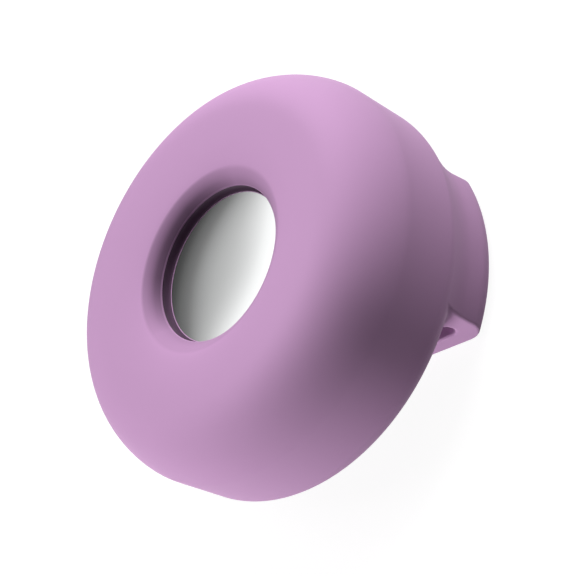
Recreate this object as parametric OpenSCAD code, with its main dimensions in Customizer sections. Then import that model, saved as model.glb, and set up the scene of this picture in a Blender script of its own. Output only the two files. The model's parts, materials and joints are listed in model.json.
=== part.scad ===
// Tracker tag holder: a thick soft ring with a window, a tag pocket and a strap loop,
// and the round tracker tag that it carries.
// +Z is the way the window faces. X runs across the strap and Y along it.
// The part lies on the flat rear face of its strap loop, at Z = 0.

/* [Ring] */
// Outer diameter of the ring
body_d = 52; // [48:0.5:60]
// Height of the front face over the rear face of the loop
body_h = 25.2; // [24.5:0.1:30]
// Width of the rounded shoulder
shoulder_w = 6.4; // [4:0.1:8]
// Depth of the rounded shoulder
shoulder_h = 8.1; // [5:0.1:9]
// Squareness of the shoulder, 2 is an ellipse
shoulder_e = 1.76; // [1.6:0.02:3]
// Depth of the nearly straight side below the shoulder
side_h = 7.1; // [5:0.1:9]
// How far the side draws in over its depth
side_draw = 0.35; // [0:0.05:1]
// Width of the rounded rear edge
rear_w = 13.9; // [10:0.1:14]
// Depth of the rounded rear edge
rear_h = 6.25; // [5:0.05:7]

/* [Window] */
// Diameter of the window
window_d = 19.8; // [16:0.1:22]
// How far the front face dips towards the window
dish_h = 0.8; // [0:0.1:1.2]
// Width of the soft lip round the window
lip_w = 1.8; // [0.8:0.1:3]
// Depth of the soft lip round the window
lip_h = 1.6; // [1:0.1:2.2]
// How much the lip's slope turns from its outer edge to the window, in degrees
lip_turn = 36; // [10:2:60]
// Depth from the window's edge to the tag's steel face
window_set = 1.35; // [1:0.05:2]

/* [Strap loop] */
// Diameter of the loop's side walls
loop_d = 48.6; // [46:0.1:50]
// Length of the loop along the strap at the walls
loop_len = 20.6; // [16:0.1:22]
// How much shorter the loop is where it meets the ring
loop_draft = 1; // [0:0.1:3]
// Width of the shallow hollow in each end face of the loop
waist_w = 30.4; // [10:0.1:38]
// Radius of that hollow
waist_r = 111; // [90:1:300]
// Radius of the rear edges of the side walls
loop_edge_r = 2.7; // [1:0.1:4]
// Width of the slot, for 38 mm webbing
slot_w = 39; // [30:0.1:41]
// Height of the slot
slot_t = 2.3; // [1.5:0.1:3]
// Thickness of the bridge behind the slot
bridge_t = 2.3; // [1.8:0.1:3]

/* [Tag pocket] */
// Room between the tag and its pocket
pocket_gap = 0.3; // [0.2:0.05:0.5]
// Radius of the lip that keeps the tag in
keep_r = 13.2; // [12:0.1:14.5]
// Thickness of the lip that keeps the tag in
keep_t = 1.6; // [1:0.1:3]
// Radius of the entry mouth where it meets the slot
mouth_r = 16.5; // [14.6:0.1:17.5]

/* [Tag] */
// Diameter of the tag
tag_d = 31.9; // [31:0.1:33]
// Thickness of the tag
tag_h = 8; // [7.8:0.1:8.6]
// Squareness of the tag's edge, 2 is an ellipse
tag_e = 3.5; // [3:0.1:4.5]
// Wall of the moulded cup
shell_t = 0.9; // [0.7:0.05:1]
// Radius of the cup's opening
shell_open_r = 13.2; // [13:0.05:13.6]
// Step that the battery tray sits on
shell_step = 0.4; // [0.2:0.05:0.6]

/* [Battery cover] */
// Radial gap between the steel dish and the cup
cover_gap = 0.3; // [0.2:0.05:0.5]
// Thickness of the steel
steel_t = 0.4; // [0.3:0.05:0.5]
// Depth of the dish's turned-down rim below the tag's front
cover_rim = 1.35; // [1.2:0.05:1.4]
// How far the cover can be pressed in
press = 0.35; // [0.2:0.05:0.4]
// How far the cover turns to open
turn = 24; // [20:1:30]
// Wall of the bayonet ring
bayonet_t = 0.8; // [0.6:0.05:1]
// Reach of each bayonet tab
tab_w = 0.8; // [0.6:0.05:0.8]
// Thickness of each bayonet tab
tab_t = 0.6; // [0.5:0.05:0.7]
// Angle that each bayonet tab spans
tab_a = 20; // [14:1:24]
// Number of bayonet tabs
tabs = 3; // [3:1:4]
// Radius of the seal's section
seal_r = 0.3; // [0.2:0.02:0.3]
// Radius of the foam pad
foam_r = 8; // [5:0.1:9]

/* [Coin cell] */
// Diameter of the cell
cell_d = 20; // [19.6:0.1:20.2]
// Thickness of the cell
cell_h = 3.2; // [3:0.05:3.2]
// Thickness of the cell's sheet metal
cell_wall = 0.25; // [0.2:0.01:0.3]
// Thickness of the gasket between can and cap
gasket_t = 0.55; // [0.4:0.05:0.6]
// Depth of the cell's face below the tag's front
cell_set = 1.15; // [1.1:0.05:1.2]

/* [Battery tray] */
// Radial room round the cell
cell_gap = 0.3; // [0.15:0.05:0.4]
// Wall of the tray outside the bayonet tabs
tray_t = 0.8; // [0.6:0.05:0.9]
// Thickness of the tray's floor
floor_t = 0.5; // [0.4:0.05:0.6]
// Thickness of each bayonet ledge
ledge_t = 0.5; // [0.4:0.05:0.5]
// Width of the negative contact
leaf_w = 3; // [2:0.1:4]
// Length of the negative contact
leaf_len = 9; // [6:0.1:12]
// Width of each positive contact
side_leaf_w = 4; // [2:0.1:6]
// Thickness of the contact springs
leaf_t = 0.15; // [0.1:0.01:0.2]

/* [Circuit board] */
// Outer radius of the board
board_r = 12.6; // [12:0.05:12.7]
// Radius of the board's opening
board_hole_r = 5.9; // [5.7:0.05:6.4]
// Thickness of the board
board_t = 0.6; // [0.5:0.05:0.7]
// Radius that the chips are set out on
chip_r = 8.3; // [7.8:0.1:8.8]
// Side of the radio chip
radio_w = 3.6; // [3:0.1:4]
// Side of the wideband chip
wideband_w = 3.1; // [2.5:0.1:3.6]
// Side of the memory chip
memory_w = 2.2; // [1.5:0.1:2.6]
// Length of the crystal
crystal_len = 2; // [1.2:0.1:2.4]
// Height of the chips
chip_h = 0.55; // [0.4:0.05:0.6]
// Length of each capacitor
cap_len = 1; // [0.6:0.1:1.2]
// Number of capacitors
caps = 9; // [4:1:10]

/* [Sounder] */
// Radius of the magnet
magnet_r = 4.1; // [3:0.1:4.2]
// Height of the magnet
magnet_h = 0.9; // [0.6:0.05:1]
// Thickness of the yoke
yoke_t = 0.5; // [0.3:0.05:0.6]
// Radius of the yoke
yoke_r = 5.3; // [5.2:0.05:5.6]
// Inner radius of the voice coil
coil_r = 4.5; // [4.4:0.05:4.6]
// Wall of the voice coil
coil_t = 0.5; // [0.3:0.05:0.6]
// Height of the voice coil
coil_h = 0.9; // [0.5:0.05:0.9]

/* [Antennas] */
// Width of the antenna frame
frame_w = 1.8; // [1.2:0.1:2]
// Thickness of the antenna foils
foil_t = 0.06; // [0.04:0.01:0.08]
// Angle that the wideband antenna spans
wideband_a = 70; // [40:1:100]
// Angle that the short-range antenna spans
bluetooth_a = 85; // [40:1:110]
// Width of the contactless coil
nfc_w = 0.6; // [0.3:0.05:0.7]

/* [Hidden] */
$fn = 128;
// Steps on a quarter of a rounded edge
steps = 20;
// Overshoot of a cut past the face it opens
over = 1;
// Thickness of a glued joint
glue = 0.02;
// Gap of a sliding or turning fit inside the tag
run = 0.1;
// Room left past a full press
spare = 0.05;
// Angle between a bayonet tab and its stop
stop_a = 1.5;

body_r = body_d / 2;
window_r = window_d / 2;
crease_z = body_h - dish_h;
crease_r = window_r + lip_w;
crown_r = body_r - shoulder_w;
window_z = crease_z - lip_h;
side_z = body_h - shoulder_h - side_h;
loop_r = loop_d / 2;
slot_top = bridge_t + slot_t;
slot_mid = bridge_t + slot_t / 2;
tag_r = tag_d / 2;
tag_face_z = window_z - window_set;
tag_mid_z = tag_face_z - tag_h / 2;
keep_z = tag_mid_z - outline_h(keep_r, tag_r + pocket_gap, tag_h / 2 + pocket_gap) - keep_t;

cover_r = shell_open_r - cover_gap;
tray_r = shell_open_r - run;
channel_r = tray_r - tray_t;
tab_r = channel_r - run * 2;
ring_r = tab_r - tab_w;
ledge_in_r = ring_r + run * 3;
cell_r = cell_d / 2;
cell_back = cell_set + cell_h;
floor_top = cell_back + press + spare;
floor_back = floor_top + floor_t;
tray_top = cover_rim + press + run;
seal_mid_r = ring_r + glue + seal_r;
seal_top = cover_in(seal_mid_r + seal_r) + spare;
ledge_top = seal_top + seal_r * 2 + press + run;
tab_top = ledge_top + ledge_t + run;
shelf_top = tab_top + tab_t + press + run * 1.5;
board_top = floor_back + run;
board_back = board_top + board_t;
step_top = floor_back + spare;
dome_back = tag_h - shell_t;
coil_back = dome_back - glue;
frame_top = board_back + run + foil_t;
cavity_r = max(shell_open_r - shell_step, board_r + run * 2);
chip_reach = max([for (w = [radio_w, wideband_w, memory_w, crystal_len, cap_len])
    norm([chip_r + w / 2, w / 2])]);
coil_out_r = chip_reach + glue + nfc_w;
frame_r = coil_out_r + glue + frame_w;

// Half height of a rounded outline at radius x, of greatest radius r and half height h
function outline_h(x, r, h) = h * pow(1 - pow(x / r, tag_e), 1 / tag_e);
// Depth of the steel's inner face at radius x
function cover_in(x) = steel_t + tag_h / 2 - outline_h(x, tag_r, tag_h / 2);
// Points of an arc from a to b that turns by an angle, bulging to the left of the way
function arc_between(a, b, turn, steps) =
    let (way = b - a, size = 1 / (2 * sin(turn / 2)))
    [for (i = [0:steps])
        let (at = turn * (i / steps - 1 / 2))
        a + way * size * (sin(at) + sin(turn / 2))
            + [-way[1], way[0]] * size * (cos(at) - cos(turn / 2))];

// Points of a quarter of a rounded outline, from the rim to the crown. The last step is level.
function quarter(r, h, e) = [for (i = [0 : steps])
    let (a = 90 * i / steps, level = i >= steps - 1)
    [r * pow(cos(a), 2 / e), level ? h : h * pow(sin(a), 2 / e)]];
// The same points, from the axis to the rim
function back_quarter(r, h, e) = [for (i = [steps : -1 : 0]) quarter(r, h, e)[i]];

// Ring between two radii, from a depth under the tag's face downwards
module band(top, h, r_out, r_in = 0) {
    translate([0, 0, tag_face_z - top - h]) difference() {
        cylinder(h = h, r = r_out);
        if (r_in > 0) translate([0, 0, -over]) cylinder(h = h + 2 * over, r = r_in);
    }
}

// Part of such a ring, between two angles
module arc_band(top, h, r_out, r_in, from, to) {
    translate([0, 0, tag_face_z - top - h]) rotate([0, 0, from])
        rotate_extrude(angle = to - from) translate([r_in, 0]) square([r_out - r_in, h]);
}

// Block on the board at an angle, with its middle at radius r
module chip(angle, w, d, h, r = chip_r) {
    rotate([0, 0, angle]) translate([r, 0, tag_face_z - board_back - glue - h / 2])
        cube([d, w, h], center = true);
}

// Rounded half section of the tag, grown by a clearance
module tag_outline(grow = 0) {
    translate([0, tag_mid_z]) polygon(concat(
        quarter(tag_r + grow, tag_h / 2 + grow, tag_e),
        [for (p = back_quarter(tag_r + grow, tag_h / 2 + grow, tag_e)) [p[0], -p[1]]]));
}

// Half section of the ring without its hollows
module ring_outline() {
    polygon(concat(
        [[0, crease_z]],
        [for (s = [1:-0.25:0.25]) [crown_r - (crown_r - crease_r) * s, body_h - dish_h * s * s]],
        [for (p = back_quarter(shoulder_w, shoulder_h, shoulder_e))
            [crown_r + p[0], body_h - shoulder_h + p[1]]],
        [for (p = quarter(rear_w, rear_h, 2))
            [body_r - side_draw - rear_w + p[0], side_z - p[1]]],
        [[0, side_z - rear_h]]));
}

// Half section of the window with its soft lip
module window_outline() {
    polygon(concat(
        [[0, tag_mid_z], [window_r, tag_mid_z]],
        arc_between([window_r, window_z], [crease_r, crease_z], lip_turn, 10),
        [[crease_r, body_h + over], [0, body_h + over]]));
}

// Half section of the entry mouth behind the tag
module mouth_outline() {
    polygon([[0, tag_mid_z], [keep_r, tag_mid_z], [keep_r, keep_z],
        [mouth_r, slot_top], [mouth_r, slot_mid], [0, slot_mid]]);
}

// Block behind the ring that the slot runs through
module loop_block() {
    half = loop_len / 2;
    top = side_z + over;
    waist_y = half + sqrt(waist_r * waist_r - waist_w * waist_w / 4);
    intersection() {
        rotate_extrude() difference() {
            square([loop_r, top]);
            difference() {
                translate([loop_r - loop_edge_r, 0]) square(loop_edge_r);
                translate([loop_r - loop_edge_r, loop_edge_r]) circle(loop_edge_r);
            }
        }
        rotate([90, 0, 90]) linear_extrude(height = body_d, center = true)
            polygon([[-half, 0], [half, 0], [half - draft_at(top), top], [draft_at(top) - half, top]]);
        difference() {
            translate([-body_r, -body_r, 0]) cube([body_d, body_d, top]);
            for (s = [-1, 1]) translate([0, s * waist_y, -over]) cylinder(h = top + 2 * over, r = waist_r);
        }
    }
}

// How far an end face draws in over a height
function draft_at(h) = loop_draft / 2 * h / side_z;

// Flat slot with round ends, along Y
module strap_slot() {
    translate([0, 0, slot_mid]) rotate([90, 0, 0])
        linear_extrude(height = body_d + 2 * over, center = true) {
            square([slot_w - slot_t, slot_t], center = true);
            for (s = [-1, 1]) translate([s * (slot_w - slot_t) / 2, 0]) circle(d = slot_t);
        }
}

module holder_body() {
    color([0.78, 0.62, 0.78]) difference() {
        union() {
            rotate_extrude() ring_outline();
            loop_block();
        }
        rotate_extrude() {
            window_outline();
            tag_outline(pocket_gap);
            mouth_outline();
        }
        strap_slot();
    }
}

module tag_shell() {
    inner_h = tag_h / 2 - shell_t;
    color([0.95, 0.95, 0.94]) rotate_extrude() difference() {
        tag_outline();
        translate([0, tag_face_z - step_top]) square([shell_open_r, step_top + over]);
        intersection() {
            translate([0, tag_mid_z]) polygon(concat([[0, inner_h]],
                [for (p = quarter(tag_r - shell_t, inner_h, tag_e)) [p[0], -p[1]]]));
            translate([0, tag_face_z - tag_h]) square([cavity_r, tag_h]);
        }
    }
}

module battery_cover() {
    color([0.80, 0.80, 0.81]) rotate_extrude() {
        difference() {
            intersection() {
                tag_outline();
                translate([0, tag_mid_z]) square([cover_r, tag_h]);
            }
            translate([0, -steel_t]) tag_outline();
        }
        translate([cover_r - steel_t, tag_face_z - cover_rim])
            square([steel_t, cover_rim - cover_in(cover_r) + steel_t / 2]);
    }
}

module cover_ring() {
    color([0.86, 0.86, 0.86]) {
        rotate_extrude() intersection() {
            translate([0, -steel_t - glue]) tag_outline();
            translate([ring_r - bayonet_t, tag_face_z - tab_top - tab_t])
                square([bayonet_t, tab_top + tab_t]);
        }
        for (i = [0 : tabs - 1])
            arc_band(tab_top, tab_t, tab_r, ring_r - bayonet_t / 2,
                i * 360 / tabs - tab_a / 2, i * 360 / tabs + tab_a / 2);
    }
}

module cover_foam() {
    top = cover_in(foam_r) + glue;
    color([0.25, 0.25, 0.26]) band(top, cell_set - spare - top, foam_r);
}

module cover_seal() {
    color([0.15, 0.15, 0.15]) translate([0, 0, tag_face_z - seal_top - seal_r])
        rotate_extrude() translate([seal_mid_r, 0]) circle(seal_r);
}

// Half section of a ring, from a depth under the tag's face downwards
module band_section(top, back, r_out, r_in) {
    translate([r_in, tag_face_z - back]) square([r_out - r_in, back - top]);
}

module battery_tray() {
    color([0.90, 0.90, 0.89]) difference() {
        rotate_extrude() {
            band_section(tray_top, floor_back, tray_r, channel_r);
            band_section(ledge_top, floor_back, tray_r, ledge_in_r);
            band_section(shelf_top, floor_back, tray_r, cell_r + cell_gap);
            band_section(floor_top, floor_back, tray_r, 0);
        }
        for (i = [0 : tabs - 1]) {
            from = i * 360 / tabs - tab_a / 2 - stop_a;
            to = i * 360 / tabs + turn + tab_a / 2 + stop_a;
            arc_band(ledge_top + ledge_t, shelf_top - ledge_top - ledge_t,
                tab_r + run, ledge_in_r - run, from, to);
            arc_band(ledge_top - run, ledge_t + 2 * run, tab_r + run + spare,
                ledge_in_r - 2 * run, from + turn + stop_a / 2, to - stop_a / 2);
        }
        side_leaf_places() translate([cell_r, -side_leaf_w / 2 - run, -leaf_t])
            cube([cell_gap + leaf_t + 2 * run, side_leaf_w + 2 * run, floor_back]);
        translate([-leaf_len / 2 - run, -leaf_w / 2 - run, tag_face_z - floor_top - leaf_t - run])
            cube([leaf_len + 2 * run, leaf_w + 2 * run, floor_t]);
    }
}

// The two places of the side springs, their feet on the tray's floor
module side_leaf_places() {
    for (a = [60, 240]) rotate([0, 0, a]) translate([0, 0, tag_face_z - floor_top]) children();
}

module positive_contacts() {
    h = floor_top - shelf_top;
    foot = glue - leaf_t;
    color([0.85, 0.72, 0.45]) side_leaf_places()
        translate([0, side_leaf_w / 2, 0]) rotate([90, 0, 0]) linear_extrude(height = side_leaf_w)
            polygon([
                [cell_r + cell_gap + leaf_t, foot], [cell_r + cell_gap + leaf_t, h],
                [cell_r + cell_gap, h], [cell_r + spare, h * 0.7],
                [cell_r + spare + leaf_t, h * 0.7 - leaf_t], [cell_r + cell_gap, h * 0.4],
                [cell_r + cell_gap, foot]]);
}

module negative_contact() {
    rise = floor_top - cell_back - spare;
    color([0.85, 0.72, 0.45]) translate([0, leaf_w / 2, tag_face_z - floor_top])
        rotate([90, 0, 0]) linear_extrude(height = leaf_w) polygon([
            [-leaf_len / 2, -leaf_t - glue], [leaf_len / 4, -leaf_t - glue],
            [leaf_len / 2, rise - leaf_t], [leaf_len / 2, rise],
            [leaf_len / 4, -glue], [-leaf_len / 2, -glue]]);
}

module cell_can() {
    color([0.78, 0.78, 0.77]) {
        band(cell_set, cell_wall, cell_r);
        band(cell_set, cell_h - cell_wall, cell_r, cell_r - cell_wall);
        band(cell_back - 2 * cell_wall, cell_wall, cell_r, cell_r - cell_wall - gasket_t);
    }
}

module cell_gasket() {
    r = cell_r - cell_wall - glue;
    color([0.30, 0.30, 0.32])
        band(cell_set + 2 * cell_wall, cell_h - 4 * cell_wall - glue, r, r - gasket_t + 2 * glue);
}

module cell_cap() {
    r = cell_r - cell_wall - gasket_t - glue;
    color([0.70, 0.70, 0.70]) {
        band(cell_back - cell_wall, cell_wall, r);
        band(cell_set + 3 * cell_wall, cell_h - 3 * cell_wall, r, r - cell_wall);
    }
}

// Radius inside the cell's cap
function core_r() = cell_r - 2 * cell_wall - gasket_t - 3 * glue;
// Depth that the cell's contents fill
function core_h() = cell_h - 2 * cell_wall - 4 * glue;

module cathode_pellet() {
    color([0.15, 0.15, 0.16]) band(cell_set + cell_wall + glue, core_h() * 0.6, core_r());
}

module cell_separator() {
    color([0.92, 0.92, 0.88])
        band(cell_set + cell_wall + core_h() * 0.6 + 2 * glue, core_h() * 0.1, core_r());
}

module lithium_disc() {
    color([0.74, 0.75, 0.76])
        band(cell_set + cell_wall + core_h() * 0.7 + 3 * glue, core_h() * 0.3, core_r());
}

module circuit_board() {
    color([0.10, 0.32, 0.20]) band(board_top, board_t, board_r, board_hole_r);
}

module radio_chip() {
    color([0.12, 0.12, 0.13]) chip(0, radio_w, radio_w, chip_h);
}

module wideband_chip() {
    color([0.70, 0.70, 0.72]) chip(75, wideband_w, wideband_w, chip_h);
}

module memory_chip() {
    color([0.14, 0.14, 0.15]) chip(-70, memory_w, memory_w, chip_h);
}

module crystal() {
    color([0.82, 0.80, 0.74]) chip(40, crystal_len * 0.8, crystal_len, chip_h);
}

module capacitors() {
    color([0.62, 0.48, 0.34]) for (i = [0 : caps - 1])
        chip(120 + i * 140 / caps, cap_len / 2, cap_len, chip_h * 0.9);
}

module magnet_yoke() {
    color([0.60, 0.61, 0.63]) band(floor_back + glue, yoke_t, yoke_r);
}

module speaker_magnet() {
    color([0.70, 0.71, 0.73]) band(floor_back + yoke_t + 2 * glue, magnet_h, magnet_r);
}

module voice_coil() {
    color([0.72, 0.42, 0.22])
        band(coil_back - coil_h, coil_h - tag_sag(coil_r + coil_t), coil_r + coil_t, coil_r);
}

// How far the cup's inner dome rises at radius x
function tag_sag(x) = dome_back - tag_h / 2
    - outline_h(x, tag_r - shell_t, tag_h / 2 - shell_t);

module antenna_frame() {
    color([0.20, 0.20, 0.21])
        band(frame_top, dome_back - tag_sag(frame_r) - glue - frame_top, frame_r, frame_r - frame_w);
}

// Foil on the face of the antenna frame that looks at the board
module foil(from, angle, r_out, r_in) {
    arc_band(frame_top - foil_t - glue, foil_t, r_out, r_in, from, from + angle);
}

module wideband_antenna() {
    color([0.83, 0.60, 0.30]) foil(20, wideband_a, frame_r - run, frame_r - frame_w / 2);
}

module bluetooth_antenna() {
    color([0.83, 0.60, 0.30]) foil(150, bluetooth_a, frame_r - run, frame_r - frame_w / 2);
}

module nfc_coil() {
    color([0.80, 0.50, 0.28])
        band(frame_top, dome_back - tag_sag(coil_out_r) - glue - frame_top, coil_out_r, coil_out_r - nfc_w);
}

holder_body();
tag_shell();
battery_cover();
cover_ring();
cover_foam();
cover_seal();
battery_tray();
positive_contacts();
negative_contact();
cell_can();
cell_cap();
cell_gasket();
cathode_pellet();
cell_separator();
lithium_disc();
circuit_board();
radio_chip();
wideband_chip();
memory_chip();
crystal();
capacitors();
magnet_yoke();
speaker_magnet();
voice_coil();
antenna_frame();
wideband_antenna();
bluetooth_antenna();
nfc_coil();
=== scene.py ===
"""Tracker tag holder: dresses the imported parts, moulds the soft ring, and sets the studio."""
import json
import logging
import math
from collections.abc import Callable, Iterable, Sequence
from dataclasses import dataclass, field
from enum import Enum

import bmesh
import bpy
import numpy as np
from mathutils import Matrix, Vector


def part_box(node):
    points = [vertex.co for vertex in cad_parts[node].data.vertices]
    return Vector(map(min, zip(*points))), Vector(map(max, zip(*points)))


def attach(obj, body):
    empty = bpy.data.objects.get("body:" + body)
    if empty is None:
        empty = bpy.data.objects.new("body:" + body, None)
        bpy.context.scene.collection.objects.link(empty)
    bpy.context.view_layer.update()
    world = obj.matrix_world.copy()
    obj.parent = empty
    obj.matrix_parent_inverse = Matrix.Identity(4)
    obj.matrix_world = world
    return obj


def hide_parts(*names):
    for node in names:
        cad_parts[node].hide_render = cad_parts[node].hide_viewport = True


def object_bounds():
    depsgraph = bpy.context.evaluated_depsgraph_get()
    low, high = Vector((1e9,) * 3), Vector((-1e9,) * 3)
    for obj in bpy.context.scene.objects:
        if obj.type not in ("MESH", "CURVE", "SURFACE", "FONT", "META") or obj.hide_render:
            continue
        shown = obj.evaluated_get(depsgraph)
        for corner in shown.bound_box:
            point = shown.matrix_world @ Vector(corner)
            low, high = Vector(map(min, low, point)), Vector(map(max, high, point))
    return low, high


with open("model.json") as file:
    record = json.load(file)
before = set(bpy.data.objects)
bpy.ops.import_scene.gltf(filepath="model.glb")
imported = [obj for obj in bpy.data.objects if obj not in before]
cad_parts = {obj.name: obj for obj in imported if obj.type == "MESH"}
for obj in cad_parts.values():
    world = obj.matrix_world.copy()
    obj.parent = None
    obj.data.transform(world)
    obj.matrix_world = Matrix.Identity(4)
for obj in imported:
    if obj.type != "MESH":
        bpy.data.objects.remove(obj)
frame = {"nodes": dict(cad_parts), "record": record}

CAD_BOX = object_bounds()
MM = 0.001
IMAGE_SIDE = 576

Colour = tuple[float, float, float]
Profile = np.ndarray

log = logging.getLogger("tag_holder")


class Value:
    """A shader socket that can stand in Python arithmetic."""

    def __init__(self, shader: "Shader", socket: bpy.types.NodeSocket) -> None:
        """Keeps the socket and the shader that it belongs to.

        Args:
            shader: The shader whose tree holds the socket.
            socket: An output socket.
        """
        self.shader = shader
        self.socket = socket

    def _join(self, operation: str, first: object, second: object) -> "Value":
        """Adds a Math node, or a Vector Math node where a vector takes part.

        Args:
            operation: Name of the node's operation.
            first: Left side, a value or a number.
            second: Right side, a value or a number.

        Returns:
            The node's result.
        """
        types = [s.socket.type for s in (first, second) if isinstance(s, Value)]
        kind = "ShaderNodeVectorMath" if "VECTOR" in types else "ShaderNodeMath"
        return self.shader.add(kind, {"operation": operation}, {0: first, 1: second})

    def __add__(self, other: object) -> "Value":
        """self + other."""
        return self._join("ADD", self, other)

    __radd__ = __add__

    def __sub__(self, other: object) -> "Value":
        """self - other."""
        return self._join("SUBTRACT", self, other)

    def __rsub__(self, other: object) -> "Value":
        """other - self."""
        return self._join("SUBTRACT", other, self)

    def __mul__(self, other: object) -> "Value":
        """self * other."""
        return self._join("MULTIPLY", self, other)

    __rmul__ = __mul__

    def __truediv__(self, other: object) -> "Value":
        """self / other."""
        return self._join("DIVIDE", self, other)

    def __rtruediv__(self, other: object) -> "Value":
        """other / self."""
        return self._join("DIVIDE", other, self)


class Shader:
    """A material's or the world's node tree, built by method calls."""

    def __init__(self, tree: bpy.types.NodeTree) -> None:
        """Empties the tree.

        Args:
            tree: The node tree to build in.
        """
        self.tree = tree
        tree.nodes.clear()

    def add(self, kind: str, settings: dict | None = None, inputs: dict | None = None,
            output: int | str = 0) -> Value:
        """Adds one node.

        Args:
            kind: The node's type.
            settings: Its properties, set first. "stops" gives a ramp's positions and colours.
            inputs: Values or links by socket name or number.
            output: Which output to return.

        Returns:
            The chosen output.
        """
        node = self.tree.nodes.new(kind)
        for name, value in (settings or {}).items():
            if name == "stops":
                self._set_stops(node.color_ramp, value)
            else:
                setattr(node, name, value)
        for name, value in (inputs or {}).items():
            if isinstance(value, Value):
                self.tree.links.new(value.socket, node.inputs[name])
            else:
                node.inputs[name].default_value = value
        return Value(self, node.outputs[output]) if node.outputs else Value(self, None)

    @staticmethod
    def _set_stops(ramp: bpy.types.ColorRamp, stops: Sequence[tuple[float, float]]) -> None:
        """Sets a grey ramp's stops.

        Args:
            ramp: The node's ramp.
            stops: Positions and grey levels.
        """
        while len(ramp.elements) < len(stops):
            ramp.elements.new(1.0)
        for element, (position, level) in zip(ramp.elements, stops):
            element.position = position
            element.color = (level, level, level, 1.0)

    def place(self) -> Value:
        """Texture coordinates fixed to the piece."""
        return self.add("ShaderNodeTexCoord", output="Object")

    def measure(self, operation: str, first: Value, second: object = (0.0, 0.0, 0.0)) -> Value:
        """A number from vectors, such as a length or a dot product."""
        return self.add("ShaderNodeVectorMath", {"operation": operation}, {0: first, 1: second}, "Value")

    def axis_distance(self, place: Value) -> Value:
        """Distance from the Z axis."""
        return self.measure("LENGTH", place * (1.0, 1.0, 0.0))

    def height(self, place: Value) -> Value:
        """Place along the Z axis."""
        return self.add("ShaderNodeSeparateXYZ", None, {0: place}, "Z")

    def noise(self, scale: float, detail: float = 2.0, roughness: float = 0.5,
              where: Value | None = None) -> Value:
        """Noise between 0 and 1.

        Args:
            scale: Lumps to the metre.
            detail: Octaves.
            roughness: Weight of the finer octaves.
            where: Coordinates, the piece's own if left out.

        Returns:
            The noise factor.
        """
        return self.add("ShaderNodeTexNoise", {"noise_dimensions": "3D"},
                        {"Vector": where or self.place(), "Scale": scale, "Detail": detail,
                         "Roughness": roughness})

    def ramp(self, factor: Value, stops: Sequence[tuple[float, float]]) -> Value:
        """Grey ramp over a factor."""
        return self.add("ShaderNodeValToRGB", {"stops": stops}, {"Fac": factor})

    def mix(self, factor: Value | float, first: object, second: object) -> Value:
        """Colour between two colours.

        Args:
            factor: 0 gives the first colour and 1 the second.
            first: A colour or a value.
            second: A colour or a value.

        Returns:
            The mixed colour.
        """
        sides = [(*c, 1.0) if isinstance(c, tuple) else c for c in (first, second)]
        return self.add("ShaderNodeMix", {"data_type": "RGBA"},
                        {0: factor, 6: sides[0], 7: sides[1]}, 2)

    def figure(self, operation: str, first: Value, second: object = 0.5) -> Value:
        """A number that has no operator, such as a sine, the larger one or a comparison's 1 or 0."""
        return self.add("ShaderNodeMath", {"operation": operation}, {0: first, 1: second})

    def between(self, value: Value, low: float, high: float) -> Value:
        """1 between two limits, 0 elsewhere."""
        return self.figure("GREATER_THAN", value, low) * self.figure("LESS_THAN", value, high)

    def bump(self, height: Value, depth: float) -> Value:
        """Normal from a height between 0 and 1, as deep as depth in metres."""
        return self.add("ShaderNodeBump", None, {"Height": height, "Distance": depth, "Strength": 1.0})

    def finish(self, surface: Value, kind: str = "Material") -> None:
        """Leads a surface to the output of a material or of the world."""
        self.add("ShaderNodeOutput" + kind, None, {"Surface": surface})


def new_material(name: str) -> tuple[bpy.types.Material, Shader]:
    """An empty node material, and the shader that builds it."""
    made = bpy.data.materials.new(name)
    made.use_nodes = True
    return made, Shader(made.node_tree)


def link(name: str, data: bpy.types.ID) -> bpy.types.Object:
    """A new object that holds the data, linked into the scene."""
    made = bpy.data.objects.new(name, data)
    bpy.context.scene.collection.objects.link(made)
    return made


def linear(level: float) -> float:
    """Linear value of an sRGB level between 0 and 1."""
    return level / 12.92 if level <= 0.04045 else ((level + 0.055) / 1.055) ** 2.4


def srgb(red: int, green: int, blue: int) -> Colour:
    """Linear colour of 8-bit sRGB levels."""
    return tuple(linear(c / 255) for c in (red, green, blue))


def scaled(colour: Colour, factor: float) -> Colour:
    """The colour, lighter or darker by a factor."""
    return tuple(min(1.0, c * factor) for c in colour)


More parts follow.
